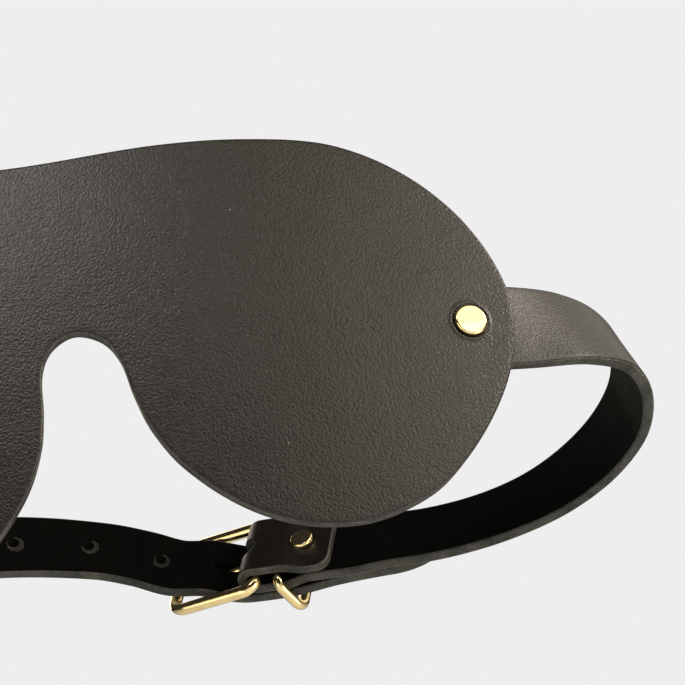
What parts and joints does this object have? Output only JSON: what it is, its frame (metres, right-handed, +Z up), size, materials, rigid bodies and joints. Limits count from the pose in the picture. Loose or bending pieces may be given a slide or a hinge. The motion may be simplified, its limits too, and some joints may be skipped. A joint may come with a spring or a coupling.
{
  "type": "eye mask",
  "caption": "Two-eye leather mask with a nose notch, two double-cap rivets and a head strap closed by a brass wire buckle, prong and keeper.",
  "frame": {"origin": "centre of the mask's outer face, on its plane of symmetry, 3 mm below the top of the nose notch", "axes": "+X to a viewer's right along the mask, +Y into the wearer's head, +Z up towards the forehead"},
  "size_m": [0.2568, 0.1412, 0.0932],
  "materials": {
    "mask_leather": "fine pebbled grain, satin",
    "strap_leather": "smooth outside, matt flesh side inside",
    "brass": "polished"
  },
  "bodies": {
    "mask_and_straps": {"mask_panel": "mask_leather", "buckle_strap": "strap_leather", "billet_strap": "strap_leather", "strap_rivet_right_cap": "brass", "strap_rivet_right_back": "brass", "strap_rivet_left_cap": "brass", "strap_rivet_left_back": "brass", "fold_rivet_cap": "brass", "fold_rivet_back": "brass"},
    "frame": {"buckle_frame": "brass"},
    "prong": {"buckle_prong": "brass"},
    "keeper": {"keeper_loop": "brass"}
  },
  "joints": [
    {"name": "frame_hinge", "type": "hinge", "parent": "mask_and_straps", "child": "frame", "pos_m": [0.0444, 0.1197, -0.0177], "axis": [-0.4081, -0.4518, -0.7933], "range_deg": [0, 3]},
    {"name": "prong_hinge", "type": "hinge", "parent": "frame", "child": "prong", "pos_m": [0.0444, 0.1197, -0.0177], "axis": [-0.4081, -0.4518, -0.7933], "range_deg": [0, 3]},
    {"name": "keeper_swing", "type": "hinge", "parent": "mask_and_straps", "child": "keeper", "pos_m": [0.04999, 0.11685, -0.01895], "axis": [0.408, 0.4514, 0.7936], "range_deg": [-6, 40]}
  ]
}
